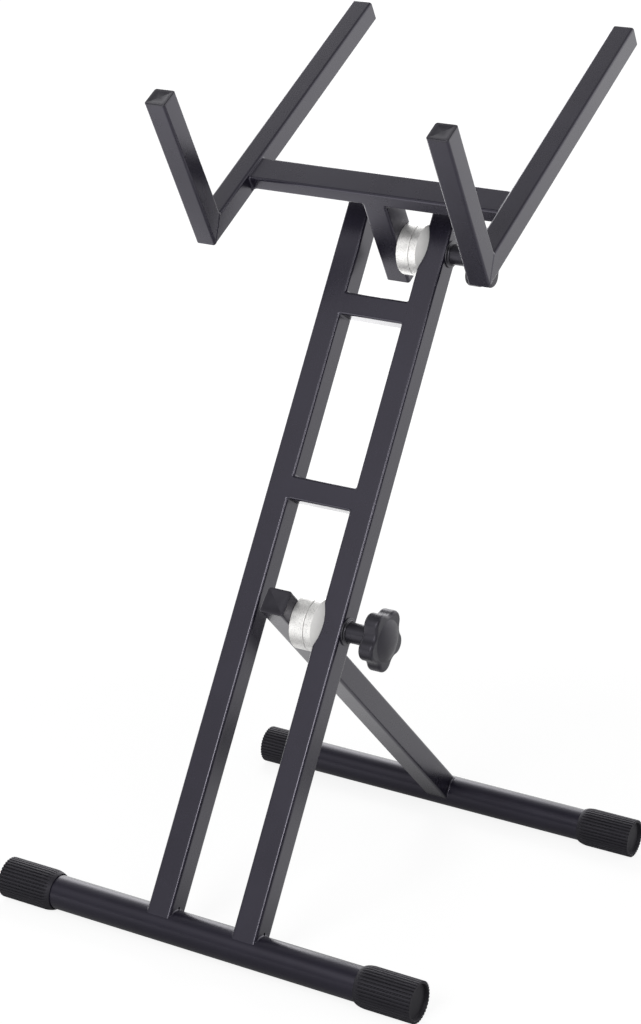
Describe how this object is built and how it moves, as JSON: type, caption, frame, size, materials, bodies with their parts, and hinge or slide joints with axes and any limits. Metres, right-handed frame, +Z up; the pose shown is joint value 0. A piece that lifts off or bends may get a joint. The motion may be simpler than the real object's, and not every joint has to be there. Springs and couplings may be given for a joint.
{
  "type": "mixer stand",
  "caption": "Folding floor stand for a mixing desk: a leaning ladder frame on round feet, a clutch-locked rear leg and a tilting V-arm cradle clamped by star knobs.",
  "frame": {"origin": "on the floor, midway between the front and rear feet and on the middle of the front foot's length", "axes": "+X to the right of a person who faces the stand's lips, +Y to its back, +Z up"},
  "size_m": [0.438, 0.4962, 0.8286],
  "materials": {
    "black_powder_coat": "satin powder coat",
    "turned_aluminium": "turned, bright",
    "ribbed_rubber": "moulded, matte",
    "plug_plastic": "moulded, fine grain",
    "knob_plastic": "moulded, satin",
    "blackened_steel": "black zinc",
    "plated_steel": "bright zinc"
  },
  "bodies": {
    "ladder": {"front_foot_tube": "black_powder_coat", "front_left_cap": "ribbed_rubber", "front_right_cap": "ribbed_rubber", "left_upright": "black_powder_coat", "right_upright": "black_powder_coat", "upper_rung": "black_powder_coat", "middle_rung": "black_powder_coat", "left_upright_plug": "plug_plastic", "right_upright_plug": "plug_plastic", "lower_fixed_rosette": "turned_aluminium", "upper_fixed_rosette": "turned_aluminium", "lower_washer": "blackened_steel", "upper_washer": "blackened_steel"},
    "rear_leg": {"leg_tube": "black_powder_coat", "leg_plug": "plug_plastic", "rear_foot_tube": "black_powder_coat", "rear_left_cap": "ribbed_rubber", "rear_right_cap": "ribbed_rubber", "lower_moving_rosette": "turned_aluminium", "lower_pivot_bolt": "blackened_steel"},
    "cradle": {"cross_tube": "black_powder_coat", "left_arm": "black_powder_coat", "left_lip": "black_powder_coat", "right_arm": "black_powder_coat", "right_lip": "black_powder_coat", "left_arm_plug": "plug_plastic", "left_lip_plug": "plug_plastic", "right_arm_plug": "plug_plastic", "right_lip_plug": "plug_plastic", "tilt_stem": "black_powder_coat", "tilt_stem_plug": "plug_plastic", "upper_moving_rosette": "turned_aluminium", "upper_pivot_bolt": "blackened_steel"},
    "lower_clamp_knob": {"lower_knob": "knob_plastic", "lower_knob_insert": "plated_steel"},
    "upper_clamp_knob": {"upper_knob": "knob_plastic", "upper_knob_insert": "plated_steel"}
  },
  "joints": [
    {"name": "leg_fold", "type": "hinge", "parent": "ladder", "child": "rear_leg", "pos_m": [0, -0.10397, 0.28602], "axis": [1, 0, 0], "range_deg": [-70, 33]},
    {"name": "cradle_tilt", "type": "hinge", "parent": "ladder", "child": "cradle", "pos_m": [0, 0.05317, 0.61547], "axis": [1, 0, 0], "range_deg": [-150, 30]},
    {"name": "lower_knob_turn", "type": "hinge", "parent": "rear_leg", "child": "lower_clamp_knob", "pos_m": [0, -0.10397, 0.28602], "axis": [1, 0, 0], "continuous": true},
    {"name": "upper_knob_turn", "type": "hinge", "parent": "cradle", "child": "upper_clamp_knob", "pos_m": [0, 0.05317, 0.61547], "axis": [1, 0, 0], "continuous": true}
  ]
}
